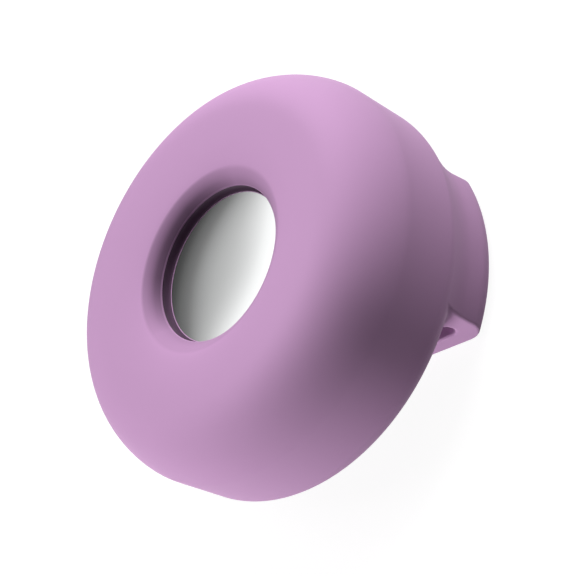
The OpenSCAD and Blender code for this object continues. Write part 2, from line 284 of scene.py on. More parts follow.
@dataclass(frozen=True)
class Finish:
    """A surface finish: a Principled material whose colour, gloss and grain vary over the piece."""

    name: str
    colour: Colour
    roughness: float
    metallic: float = 0.0
    coat: float = 0.0
    mottle: float = 0.06
    mottle_scale: float = 220.0
    rough_spread: float = 0.06
    grain_scale: float = 9000.0
    grain_depth: float = 4e-6
    specular: float = 0.5
    gleam: Colour = (1.0, 1.0, 1.0)

    def pattern(self, shader: Shader) -> Value | None:
        """A mask that marks a second colour, or None."""
        return None

    def second_colour(self) -> Colour:
        """The colour that the pattern's mask brings in."""
        return scaled(self.colour, 0.6)

    def height(self, shader: Shader) -> Value:
        """Height of the surface grain, between 0 and 1."""
        return shader.noise(self.grain_scale, 3.0, 0.6)

    def material(self) -> bpy.types.Material:
        """Builds the material.

        Returns:
            The finished material.
        """
        made, shader = new_material(self.name)
        made.diffuse_color = (*self.colour, 1.0)
        cloud = shader.noise(self.mottle_scale, 4.0, 0.55)
        darker, lighter = scaled(self.colour, 1 - self.mottle), scaled(self.colour, 1 + self.mottle)
        colour = shader.mix(cloud, darker, lighter)
        mask = self.pattern(shader)
        if mask is not None:
            colour = shader.mix(mask, colour, self.second_colour())
        smudge = shader.noise(self.mottle_scale * 2.3, 3.0, 0.6)
        roughness = smudge * (2 * self.rough_spread) + (self.roughness - self.rough_spread)
        surface = shader.add("ShaderNodeBsdfPrincipled", None, {
            "Base Color": colour,
            "Roughness": roughness,
            "Normal": shader.bump(self.height(shader), self.grain_depth),
            "Metallic": self.metallic,
            "Coat Weight": self.coat,
            "Coat Roughness": 0.06,
            "Specular IOR Level": self.specular,
            "Specular Tint": (*self.gleam, 1.0),
        })
        shader.finish(surface)
        return made


@dataclass(frozen=True)
class Polished(Finish):
    """Mirror-polished metal with faint wiping marks."""

    def height(self, shader: Shader) -> Value:
        """Long faint marks across the piece."""
        stretched = shader.place() * (1.0, 0.06, 1.0)
        return shader.noise(self.grain_scale, 2.0, 0.5, stretched)


@dataclass(frozen=True)
class Brushed(Finish):
    """Sheet metal with fine turned marks round its axis."""

    def height(self, shader: Shader) -> Value:
        """Marks that follow circles round the axis."""
        ring = shader.add("ShaderNodeCombineXYZ", None, {"X": shader.axis_distance(shader.place())})
        return shader.noise(self.grain_scale, 2.0, 0.7, ring)


@dataclass(frozen=True)
class Wound(Finish):
    """Enamelled wire wound round the axis, one turn above the other."""

    pitch: float = 0.11 * MM

    def height(self, shader: Shader) -> Value:
        """Rounded turns, one pitch apart along the axis."""
        turn = shader.height(shader.place()) * (2 * math.pi / self.pitch)
        return shader.figure("SINE", turn) * 0.5 + 0.5


@dataclass(frozen=True)
class Board(Finish):
    """Solder mask over copper tracks."""

    track: float = 0.5 * MM

    def pattern(self, shader: Shader) -> Value:
        """Narrow lines where cells meet, as tracks under the mask."""
        cells = shader.add("ShaderNodeTexVoronoi", {"feature": "DISTANCE_TO_EDGE"},
                           {"Vector": shader.place(), "Scale": 1 / (3 * self.track)}, "Distance")
        return shader.ramp(cells, [(0.03, 1.0), (0.05, 0.0)])

    def second_colour(self) -> Colour:
        """The mask over copper, a lighter green."""
        return scaled(self.colour, 1.8)


@dataclass(frozen=True)
class Silicone(Finish):
    """Soft matt silicone, with shade on the lip and deeper shade on the wall between lip and tag.

    The shade is fixed to the piece. It stands for what the photograph shows and soft lamps don't give.
    """

    # Where the painted shade lies: the wall of the gap between lip and tag, and the lip.
    gap_inner: float = 9.65 * MM
    gap_outer: float = 10.3 * MM
    gap_low: float = 21.54 * MM
    gap_high: float = 22.74 * MM
    lip_inner: float = 9.9 * MM
    lip_outer: float = 12.02 * MM
    shade_way: tuple[float, float, float] = (-0.788, 0.616, 0.0)
    shade_ends: tuple[tuple[float, float], ...] = ((0.3, 0.0), (0.9, 1.0))
    shadow_line_low: float = 22.6 * MM
    wall_level: float = 0.88
    deepest: float = 0.07
    # Painted shade across the lip, on its lit side and on its shaded side.
    open_side: tuple[tuple[float, float], ...] = ((0.0, 0.0), (0.03, 0.0), (0.07, 0.25), (0.4, 0.18),
                                                  (0.8, 0.14), (1.0, 0.0))
    deep_side: tuple[tuple[float, float], ...] = ((0.0, 0.4), (0.03, 0.5), (0.07, 0.84), (0.28, 0.78),
                                                  (0.47, 0.57), (0.65, 0.44), (0.84, 0.38), (1.0, 0.0))

    def pattern(self, shader: Shader) -> Value:
        """Near 1 on the wall of the gap, and less on the lip, most on its shaded side."""
        place = shader.place()
        radius, height = shader.axis_distance(place), shader.height(place)
        across = shader.between(radius, self.gap_inner, self.gap_outer)
        along = shader.between(height, self.gap_low, self.gap_high)
        aside = shader.measure("DOT_PRODUCT", place, self.shade_way)
        side = shader.ramp(aside / radius, self.shade_ends)
        share = (radius - self.lip_inner) / (self.lip_outer - self.lip_inner)
        lit, deep = shader.ramp(share, self.open_side), shader.ramp(share, self.deep_side)
        lip = (lit + (deep - lit) * side) * shader.figure("GREATER_THAN", height, self.gap_high)
        # A painted shadow line: the wall is darkest in a narrow band just under the lip's edge.
        line = shader.figure("GREATER_THAN", height, self.shadow_line_low)
        depth = line * (1 - self.wall_level) + self.wall_level
        return shader.figure("MAXIMUM", across * along * depth, lip)

    def second_colour(self) -> Colour:
        """The deep shade."""
        return scaled(self.colour, self.deepest)


class Part(Enum):
    """Finishes by the record's material slot."""

    SILICONE = "silicone"
    WHITE = "white_plastic"
    STEEL = "polished_steel"
    FRAME = "frame_plastic"
    FOAM = "foam"
    SEAL = "seal_rubber"
    CONTACT = "contact_metal"
    CELL = "cell_steel"
    DARK = "dark_plastic"
    CATHODE = "cathode"
    SEPARATOR = "separator"
    ANODE = "anode"
    BOARD = "board"
    CHIP = "chip"
    SHIELD = "shield"
    CERAMIC = "ceramic"
    MAGNET = "magnet"
    COPPER = "copper"


LILAC = srgb(204, 160, 203)

FINISHES: dict[Part, Finish] = {
    Part.SILICONE: Silicone("soft lilac silicone", LILAC, 0.6, mottle=0.012, mottle_scale=90,
                            rough_spread=0.05, grain_scale=5200, grain_depth=5e-6, specular=0.2,
                            gleam=LILAC),
    Part.WHITE: Finish("white gloss plastic", srgb(240, 240, 238), 0.16, coat=0.4, mottle=0.01,
                       rough_spread=0.04, grain_scale=1500, grain_depth=1.5e-6),
    Part.STEEL: Polished("polished steel", (0.86, 0.87, 0.87), 0.07, metallic=1.0, mottle=0.015,
                         rough_spread=0.025, grain_scale=3000, grain_depth=3e-7),
    Part.FRAME: Finish("off-white moulding", srgb(226, 226, 222), 0.45, mottle=0.03),
    Part.FOAM: Finish("grey foam", srgb(64, 64, 67), 0.9, mottle=0.25, mottle_scale=4000,
                      grain_scale=5000, grain_depth=6e-5),
    Part.SEAL: Finish("black seal rubber", srgb(30, 30, 31), 0.55, mottle=0.1),
    Part.CONTACT: Brushed("gold contact", srgb(214, 170, 92), 0.28, metallic=1.0, mottle=0.04),
    Part.CELL: Brushed("nickel sheet", srgb(190, 190, 188), 0.3, metallic=1.0, mottle=0.03,
                       grain_scale=6000, grain_depth=3e-6),
    Part.DARK: Finish("dark moulding", srgb(52, 52, 54), 0.5, mottle=0.06),
    Part.CATHODE: Finish("pressed black powder", srgb(36, 36, 38), 0.95, mottle=0.2, mottle_scale=3000,
                         grain_scale=8000, grain_depth=2e-5),
    Part.SEPARATOR: Finish("white felt", srgb(236, 236, 226), 0.95, mottle=0.05, mottle_scale=2500,
                           grain_scale=7000, grain_depth=2e-5),
    Part.ANODE: Finish("dull lithium", srgb(178, 180, 184), 0.5, metallic=1.0, mottle=0.1,
                       mottle_scale=900),
    Part.BOARD: Board("green board", srgb(22, 78, 48), 0.35, coat=0.3, mottle=0.05),
    Part.CHIP: Finish("black package", srgb(32, 32, 34), 0.6, mottle=0.08, grain_depth=6e-6),
    Part.SHIELD: Brushed("tinned metal", srgb(186, 187, 190), 0.35, metallic=1.0),
    Part.CERAMIC: Finish("brown ceramic", srgb(158, 124, 88), 0.55, mottle=0.12, mottle_scale=3000),
    Part.MAGNET: Polished("plated magnet", srgb(186, 188, 192), 0.18, metallic=1.0),
    Part.COPPER: Wound("enamelled copper", srgb(192, 112, 62), 0.3, metallic=1.0, coat=0.5,
                       grain_depth=3e-5),
}


@dataclass
class Wardrobe:
    """The finished materials, one for each slot, made once."""

    made: dict[Part, bpy.types.Material] = field(default_factory=dict)

    def dress(self, piece: bpy.types.Object, part: Part) -> None:
        """Gives a piece one material, which is built on first use.

        Args:
            piece: A mesh object.
            part: The slot whose finish it takes.
        """
        if part not in self.made:
            self.made[part] = FINISHES[part].material()
        piece.data.materials.clear()
        piece.data.materials.append(self.made[part])


def quarter(width: float, height: float, exponent: float, steps: int,
            crown: float | None = None) -> Profile:
    """A quarter of a rounded outline, from its rim at (width, 0) to its crown at (0, height).

    Args:
        width: Reach of the rim.
        height: Height of the crown.
        exponent: Squareness, 2 for an ellipse.
        steps: Number of stretches.
        crown: Squareness at the crown, where it differs.

    Returns:
        Points of the outline.
    """
    turn = np.linspace(0.0, math.pi / 2, steps + 1)
    return np.stack([width * np.abs(np.cos(turn)) ** (2 / (crown or exponent)),
                     height * np.abs(np.sin(turn)) ** (2 / exponent)], 1)


def stretch(start: Sequence[float], end: Sequence[float], steps: int) -> Profile:
    """Evenly spaced points from start to end."""
    return np.linspace(start, end, steps + 1)


def polyline(*parts: Profile) -> Profile:
    """Joins stretches of a profile, leaving out points that repeat."""
    points = np.concatenate(parts)
    keep = np.ones(len(points), bool)
    keep[1:] = np.linalg.norm(np.diff(points, axis=0), axis=1) > 1e-6
    return points[keep]


class Section:
    """A closed half section round the axis, with its signed distance on a fine grid."""

    def __init__(self, outline: Profile, reach: float = 30.0, low: float = -2.0, high: float = 27.0,
                 pitch: float = 0.08) -> None:
        """Works out the distance grid.

        Args:
            outline: Corners as radius and height in millimetres.
            reach: Largest radius of the grid.
            low: Lowest height of the grid.
            high: Highest height of the grid.
            pitch: Spacing of the grid.
        """
        self.low, self.pitch = low, pitch
        radii = np.arange(-pitch, reach + pitch, pitch)
        heights = np.arange(low, high + pitch, pitch)
        where = np.stack(np.meshgrid(radii, heights, indexing="ij"), -1).reshape(-1, 2)
        nearest = np.full(len(where), np.inf)
        inside = np.zeros(len(where), bool)
        for start, end in zip(outline, np.roll(outline, -1, 0)):
            side = end - start
            share = np.clip(((where - start) @ side) / (side @ side), 0, 1)
            gap = where - start - share[:, None] * side
            nearest = np.minimum(nearest, (gap ** 2).sum(1))
            if start[1] != end[1]:
                across = (start[1] > where[:, 1]) != (end[1] > where[:, 1])
                meet = start[0] + (where[:, 1] - start[1]) * side[0] / side[1]
                inside ^= across & (where[:, 0] < meet)
        self.grid = (np.sqrt(nearest) * np.where(inside, -1, 1)).reshape(len(radii), len(heights))

    def distance(self, radius: np.ndarray, height: np.ndarray) -> np.ndarray:
        """Signed distance to the outline, negative inside.

        Args:
            radius: Radii in millimetres.
            height: Heights in millimetres.

        Returns:
            The distances.
        """
        across = np.clip(radius / self.pitch + 1, 0, self.grid.shape[0] - 1.001)
        up = np.clip((height - self.low) / self.pitch, 0, self.grid.shape[1] - 1.001)
        i, j = across.astype(int), up.astype(int)
        u, v = across - i, up - j
        g = self.grid
        return ((g[i, j] * (1 - v) + g[i, j + 1] * v) * (1 - u)
                + (g[i + 1, j] * (1 - v) + g[i + 1, j + 1] * v) * u)


def blend_or(first: np.ndarray, second: np.ndarray, radius: np.ndarray | float) -> np.ndarray:
    """Joins two solids with a fillet in the corner between them."""
    near = np.hypot(np.maximum(radius - first, 0), np.maximum(radius - second, 0))
    return np.maximum(radius, np.minimum(first, second)) - near


def blend_and(first: np.ndarray, second: np.ndarray, radius: float) -> np.ndarray:
    """Keeps what two solids share, with its edge rounded."""
    near = np.hypot(np.maximum(radius + first, 0), np.maximum(radius + second, 0))
    return np.minimum(-radius, np.maximum(first, second)) + near


def make_mesh(name: str, verts: np.ndarray, faces: Iterable[Sequence[int]]) -> bpy.types.Object:
    """Makes a smooth mesh object.

    Args:
        name: The object's name.
        verts: Points in millimetres.
        faces: Corner numbers of each face.

    Returns:
        The linked object, in metres.
    """
    mesh = bpy.data.meshes.new(name)
    mesh.from_pydata((np.asarray(verts) * MM).tolist(), [], [list(f) for f in faces])
    mesh.polygons.foreach_set("use_smooth", np.ones(len(mesh.polygons), bool))
    mesh.update()
    return link(name, mesh)


def spin(profile: Profile, segments: int, closed: bool) -> tuple[np.ndarray, list[tuple[int, ...]]]:
    """Turns a profile round the Z axis.

    Args:
        profile: Radii and heights, where a radius of 0 becomes one point.
        segments: Steps round the axis.
        closed: Whether the last point joins the first.

    Returns:
        The points and the faces.
    """
    turn = np.linspace(0, 2 * math.pi, segments, endpoint=False)
    verts: list[np.ndarray] = []
    rows: list[np.ndarray] = []
    count = 0
    for radius, height in profile:
        if radius < 1e-9:
            verts.append(np.array([[0.0, 0.0, height]]))
            rows.append(np.full(segments, count))
            count += 1
        else:
            verts.append(np.stack([radius * np.cos(turn), radius * np.sin(turn),
                                   np.full(segments, height)], 1))
            rows.append(count + np.arange(segments))
            count += segments
    faces: list[tuple[int, ...]] = []
    pairs = zip(rows, rows[1:] + ([rows[0]] if closed else []))
    for below, above in pairs:
        for a, b, c, d in zip(below, np.roll(below, -1), np.roll(above, -1), above):
            corners = tuple(dict.fromkeys((int(a), int(b), int(c), int(d))))
            if len(corners) > 2:
                faces.append(corners)
    return np.concatenate(verts), faces


def bounds_mm(node: str) -> tuple[list[float], list[float]]:
    """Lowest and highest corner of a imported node, in millimetres."""
    low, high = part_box(node)
    return [float(c) / MM for c in low], [float(c) / MM for c in high]


def tag_shape() -> tuple[float, float, float]:
    """Radius, middle plane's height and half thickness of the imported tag, in millimetres."""
    low, high = bounds_mm("tag_shell")
    face = bounds_mm("battery_cover")[1][2]
    return high[0], (face + low[2]) / 2, (face - low[2]) / 2


def read(items: bpy.types.bpy_prop_collection, name: str, width: int, kind: type) -> np.ndarray:
    """One property of many items, as rows of a given width."""
    found = np.empty(len(items) * width, kind)
    items.foreach_get(name, found)
    return found.reshape(-1, width)


@dataclass
class SoftRing:
    """The moulded silicone: ring, window, tag pocket, entry mouth and strap loop. In millimetres."""

    wardrobe: Wardrobe
    shoulder_w: float = 7.45
    shoulder_h: float = 8.1
    shoulder_e: float = 1.72
    crown_e: float = 2.2
    side_h: float = 7.1
    side_draw: float = 0.35
    rear_w: float = 13.9
    rear_h: float = 6.25
    window_r: float = 9.9
    dish_h: float = 0.8
    lip_w: float = 1.95
    lip_h: float = 1.6
    lip_turn: float = 26.0
    crease_r: float = 0.3
    undercut: float = 0.16
    window_bevel: tuple[float, float, float] = (0.02, 0.07, 0.16)
    sill_w: float = 0.5
    sill_h: float = 0.08
    sill_bevel: float = 0.04
    sill_nick: float = 0.03
    sill_foot: float = 0.02
    loop_r: float = 24.3
    loop_half: float = 10.4
    loop_draft: float = 0.5
    waist_w: float = 30.4
    waist_r: float = 111.0
    waist_blend: float = 2.4
    loop_edge_r: float = 2.7
    slot_w: float = 39.0
    slot_t: float = 2.3
    bridge_t: float = 2.3
    pocket_gap: float = 0.3
    keep_r: float = 13.2
    keep_t: float = 1.6
    mouth_r: float = 16.5
    tag_e: float = 3.5
    junction_r: float = 0.8
    fade: float = 0.5
    flare_top: float = 1.2
    flare_foot: float = 4.8
    end_edge_r: float = 0.3
    slot_edge_r: float = 0.35
    rim_r: float = 0.5
    voxel: float = 0.32
    longest_move: float = 0.4
    least_slope: float = 0.25
    first_draws: int = 6
    rounds: int = 4
    round_draws: int = 2
    evening: float = 0.5
    segments: int = 256
    cut_z: float = 13.0
    strip: float = 0.35
    body_r: float = field(init=False)
    body_h: float = field(init=False)
    tag_r: float = field(init=False)
    tag_mid: float = field(init=False)
    tag_half: float = field(init=False)
    skin: Callable[[np.ndarray], np.ndarray] = field(init=False)

    def __post_init__(self) -> None:
        """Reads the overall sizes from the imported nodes."""
        self.body_r, _, self.body_h = bounds_mm("holder_body")[1]
        self.tag_r, self.tag_mid, self.tag_half = tag_shape()
        self.skin = self.solid()

    def side_z(self) -> float:
        """Height where the rounded rear edge begins."""
        return self.body_h - self.shoulder_h - self.side_h

    def shoulder(self) -> Profile:
        """The rounded shoulder, from the side up to the front face."""
        arc = quarter(self.shoulder_w, self.shoulder_h, self.shoulder_e, 40, self.crown_e)
        return arc + (self.body_r - self.shoulder_w, self.body_h - self.shoulder_h)

    def rear(self) -> Profile:
        """The rounded rear edge, from the side down to the rear crown."""
        arc = quarter(self.rear_w, self.rear_h, 2.0, 40) * (1, -1)
        return arc + (self.body_r - self.side_draw - self.rear_w, self.side_z())

    def pocket(self) -> Profile:
        """The tag pocket's outline, from the window's edge round to the lip behind the tag."""
        arc = quarter(self.tag_r + self.pocket_gap, self.tag_half + self.pocket_gap, self.tag_e, 28)
        front = arc[::-1]
        back = arc * (1, -1)
        front = front[front[:, 0] > self.window_r + self.undercut]
        back = back[back[:, 0] > self.keep_r]
        return np.concatenate([front, back[1:]]) + (0, self.tag_mid)

    def keep_z(self) -> float:
        """Height of the rear edge of the lip that keeps the tag in."""
        return float(self.pocket()[-1][1]) - self.keep_t

    def face(self) -> Profile:
        """The front face, which dips from the crown to the lip."""
        crown, crease = self.body_r - self.shoulder_w, self.window_r + self.lip_w
        share = np.linspace(0, 1 - self.crease_r / (crown - crease), 15)
        return np.stack([crown - (crown - crease) * share, self.body_h - self.dish_h * share ** 2], 1)

    def lip(self) -> Profile:
        """The soft lip, an arc from the face down to the window's edge."""
        half = math.radians(self.lip_turn) / 2
        way = np.array([-self.lip_w, -self.lip_h])
        share = np.linspace(self.crease_r / np.linalg.norm(way), 1, 15)[:, None]
        at = half * (2 * share - 1)
        along = (np.sin(at) + math.sin(half)) / (2 * math.sin(half))
        bulge = (np.cos(at) - math.cos(half)) / (2 * math.sin(half))
        start = np.array([self.window_r + self.lip_w, self.body_h - self.dish_h])
        return start + along * way + bulge * np.array([way[1], -way[0]])

    def recess(self) -> Profile:
        """The undercut wall between the window's edge and the tag's face."""
        edge_z = self.body_h - self.dish_h - self.lip_h
        wall_r = self.window_r + self.undercut
        foot = float(self.pocket()[0][1])
        sill_r, sill_z = wall_r - self.sill_w, foot + self.sill_h
        step, start, end = self.window_bevel
        return np.array([
            (self.window_r + step, edge_z - start),
            (wall_r, edge_z - end),
            (wall_r, sill_z + self.sill_bevel),
            (wall_r - self.sill_bevel, sill_z),
            (sill_r + self.sill_nick, sill_z),
            (sill_r, sill_z - self.sill_nick),
            (sill_r, foot + self.sill_foot),
            (sill_r + self.sill_foot, foot),
        ])

    def front(self) -> Profile:
        """Profile of everything ahead of the cut: side, shoulder, face, window and pocket."""
        shoulder = self.shoulder()
        foot = self.cut_z + self.strip
        start = np.array([self.side_r(foot), foot])
        pocket = self.pocket()
        end = stretch(pocket[-1], (self.keep_r, foot), 3)
        side = stretch(start, shoulder[0], 10)
        return polyline(side, shoulder, self.face(), self.lip(), self.recess(), pocket, end)

    def side_r(self, height: float) -> float:
        """Radius of the nearly straight side at a height."""
        top = self.body_h - self.shoulder_h
        return self.body_r - self.side_draw * (top - height) / self.side_h

    def outer_section(self) -> Section:
        """The ring without its hollows."""
        rear = self.rear()
        outline = polyline(np.array([[0, self.body_h]]), self.shoulder()[::-1], rear,
                           np.array([[0, rear[-1][1]]]))
        return Section(outline)

    def wall_section(self) -> Section:
        """The loop's side walls, which flare out into the ring and have a rounded rear edge."""
        inner = self.loop_r - self.loop_edge_r
        arc = quarter(self.loop_edge_r, self.loop_edge_r, 2.0, 16) * (1, -1) + (inner, self.loop_edge_r)
        drop = self.flare_top / self.rear_h
        lean = math.sqrt(1 - drop * drop)
        meet_r = self.body_r - self.side_draw - self.rear_w * (1 - lean)
        meet_z = self.side_z() - self.flare_top
        slope = self.rear_w * drop / (self.rear_h * lean)
        tall = meet_z - self.flare_foot
        share = np.linspace(1, 0, 17)
        ease = share ** 2 * (3 - 2 * share)
        run_out = slope * tall * (share - 1) * share ** 2
        flare = np.stack([self.loop_r + (meet_r - self.loop_r) * ease + run_out,
                          self.flare_foot + tall * share], 1)
        outline = polyline(np.array([[0, meet_z + 1], [meet_r - 1, meet_z + 1]]), flare, arc,
                           np.array([[0, 0]]))
        return Section(outline)

    def hollow_section(self) -> Section:
        """Window, pocket and mouth as one hollow."""
        pocket = self.pocket()
        slot_top, slot_mid = self.bridge_t + self.slot_t, self.bridge_t + self.slot_t / 2
        outline = polyline(
            np.array([[0, self.body_h + 1], [self.window_r, self.body_h + 1],
                      [self.window_r, pocket[0][1]]]),
            pocket,
            np.array([[self.keep_r, pocket[-1][1]], [self.keep_r, self.keep_z()],
                      [self.mouth_r, slot_top], [self.mouth_r, slot_mid], [0, slot_mid]]))
        return Section(outline)

    def solid(self) -> Callable[[np.ndarray], np.ndarray]:
        """Distance to the moulding's skin, as a function of points."""
        outer, wall, hollow = self.outer_section(), self.wall_section(), self.hollow_section()
        drawn = self.loop_draft / self.side_z()
        square = 1 / math.sqrt(1 + drawn * drawn)
        centre = self.loop_half + math.sqrt(self.waist_r ** 2 - self.waist_w ** 2 / 4)
        slot_mid = self.bridge_t + self.slot_t / 2

        def distance(points: np.ndarray) -> np.ndarray:
            """Signed distance of each point, negative in the silicone."""
            x, y, z = points.T
            radius = np.hypot(x, y)
            flat = (np.abs(y) + drawn * z - self.loop_half) * square
            waist = self.waist_r - np.hypot(x, centre - np.abs(y))
            ends = blend_and(flat, waist, self.waist_blend)
            sides = wall.distance(radius, z)
            block = blend_and(sides, ends, self.end_edge_r)
            fillet = self.junction_r * np.clip(-sides / self.fade, 0, 1)
            skin = blend_or(outer.distance(radius, z), block, fillet)
            beside = np.maximum(np.abs(x) - (self.slot_w - self.slot_t) / 2, 0)
            slot = np.hypot(beside, z - slot_mid) - self.slot_t / 2
            skin = blend_and(skin, -hollow.distance(radius, z), self.rim_r)
            return blend_and(skin, -slot, self.slot_edge_r)

        return distance

    def slope(self, points: np.ndarray, step: float = 0.06) -> np.ndarray:
        """Gradient of the distance to the skin, by differences.

        Args:
            points: Points in millimetres.
            step: Half of the distance between the samples.

        Returns:
            The gradients.
        """
        shifts = np.eye(3) * step
        return np.stack([self.skin(points + s) - self.skin(points - s) for s in shifts], 1) / (2 * step)

    def onto(self, points: np.ndarray, times: int) -> np.ndarray:
        """Moves points onto the skin."""
        for _ in range(times):
            way = self.slope(points)
            size = np.maximum((way ** 2).sum(1), self.least_slope)
            move = np.clip(self.skin(points), -self.longest_move, self.longest_move)
            points = points - move[:, None] * way / size[:, None]
        return points

    def settle(self, verts: np.ndarray, edges: np.ndarray) -> np.ndarray:
        """Draws a rough skin onto the true one and evens its faces.

        Args:
            verts: Points in millimetres.
            edges: Pairs of point numbers.

        Returns:
            The settled points.
        """
        verts = self.onto(verts, self.first_draws)
        ends = np.concatenate([edges, edges[:, ::-1]])
        degree = np.bincount(ends[:, 0], minlength=len(verts)).clip(1)
        for _ in range(self.rounds):
            total = np.stack([np.bincount(ends[:, 0], column[ends[:, 1]], len(verts))
                              for column in verts.T], 1)
            way = self.slope(verts)
            way /= np.linalg.norm(way, axis=1, keepdims=True).clip(1e-6)
            pull = total / degree[:, None] - verts
            along = pull - (pull * way).sum(1, keepdims=True) * way
            verts = self.onto(verts + self.evening * along, self.round_draws)
        return verts

    def smooth_normals(self, mesh: bpy.types.Mesh) -> None:
        """Gives the settled rear the true skin's normals, so that the join to the front is unseen."""
        points = read(mesh.vertices, "co", 3, np.float32) / MM
        normals = read(mesh.vertices, "normal", 3, np.float32)
        rear = points[:, 2] < self.cut_z + 2 * self.strip
        way = self.slope(points[rear])
        normals[rear] = way / np.linalg.norm(way, axis=1, keepdims=True).clip(1e-6)
        mesh.normals_split_custom_set_from_vertices(normals.tolist())

    def rough_skin(self) -> tuple[np.ndarray, list[tuple[int, ...]], np.ndarray]:
        """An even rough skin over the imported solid.

        Returns:
            Points in millimetres, faces and edges.
        """
        source = frame["nodes"]["holder_body"].copy()
        source.data = source.data.copy()
        source.parent = None
        bpy.context.scene.collection.objects.link(source)
        remesh = source.modifiers.new("even", "REMESH")
        remesh.mode = "VOXEL"
        remesh.voxel_size = self.voxel * MM
        ready = source.evaluated_get(bpy.context.evaluated_depsgraph_get()).to_mesh()
        verts = read(ready.vertices, "co", 3, float) / MM
        edges = read(ready.edges, "vertices", 2, int)
        faces = [tuple(p.vertices) for p in ready.polygons]
        data = source.data
        bpy.data.objects.remove(source)
        bpy.data.meshes.remove(data)
        return verts, faces, edges

    def build(self) -> bpy.types.Object:
        """Moulds the skin: a turned front joined to a settled rear.

        Returns:
            The finished piece.
        """
        verts, faces, edges = self.rough_skin()
        verts = self.settle(verts, edges)
        made = bmesh.new()
        corners = [made.verts.new(v) for v in verts]
        for face in faces:
            made.faces.new([corners[i] for i in face])
        whole = made.verts[:] + made.edges[:] + made.faces[:]
        bmesh.ops.bisect_plane(made, geom=whole, plane_co=(0, 0, self.cut_z), plane_no=(0, 0, 1),
                               clear_outer=True)
        rims = [e for e in made.edges if e.is_boundary]
        points = {v for e in rims for v in e.verts}
        limit = (self.keep_r + self.side_r(self.cut_z)) / 2
        front_verts, front_faces = spin(self.front(), self.segments, False)
        turned = [made.verts.new(v) for v in front_verts]
        for face in front_faces:
            made.faces.new([turned[i] for i in face])
        self.stitch(made, [v for v in points if v.co.xy.length > limit], turned[:self.segments])
        self.stitch(made, [v for v in points if v.co.xy.length <= limit], turned[-self.segments:])
        bmesh.ops.remove_doubles(made, verts=made.verts[:], dist=1e-5)
        bmesh.ops.recalc_face_normals(made, faces=made.faces[:])
        open_edges = sum(1 for e in made.edges if not e.is_manifold)
        mesh = bpy.data.meshes.new("soft_ring")
        made.transform(Matrix.Scale(MM, 4))
        made.to_mesh(mesh)
        made.free()
        mesh.polygons.foreach_set("use_smooth", np.ones(len(mesh.polygons), bool))
        self.smooth_normals(mesh)
        piece = link("soft_ring", mesh)
        log.info("soft_ring: %d faces, %d open edges", len(mesh.polygons), open_edges)
        return piece

    def stitch(self, made: bmesh.types.BMesh, first: list[bmesh.types.BMVert],
               second: list[bmesh.types.BMVert]) -> None:
        """Joins two loops round the axis with triangles.

        Args:
            made: The mesh that holds both loops.
            first: Points of one loop, in any order.
            second: Points of the other loop.
        """
        def angle(vert: bmesh.types.BMVert) -> float:
            """Angle round the axis, from 0 to a full turn."""
            return math.atan2(vert.co.y, vert.co.x) % (2 * math.pi)

        rows = [sorted(loop, key=angle) for loop in (first, second)]
        at = [0, 0]
        turns = [[angle(v) for v in row] + [angle(row[0]) + 2 * math.pi] for row in rows]
        while at[0] < len(rows[0]) or at[1] < len(rows[1]):
            ahead = [turns[k][at[k] + 1] if at[k] < len(rows[k]) else math.inf for k in (0, 1)]
            k = 0 if ahead[0] <= ahead[1] else 1
            here = [rows[j][at[j] % len(rows[j])] for j in (0, 1)]
            onward = rows[k][(at[k] + 1) % len(rows[k])]
            if len({here[0], here[1], onward}) == 3:
                made.faces.new((here[0], here[1], onward))
            at[k] += 1

    def dress(self, piece: bpy.types.Object) -> None:
        """Gives the moulding its finish and its place in the frame."""
        self.wardrobe.dress(piece, Part.SILICONE)
        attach(piece, "holder")
        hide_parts("holder_body")
        piece.visible_glossy = False


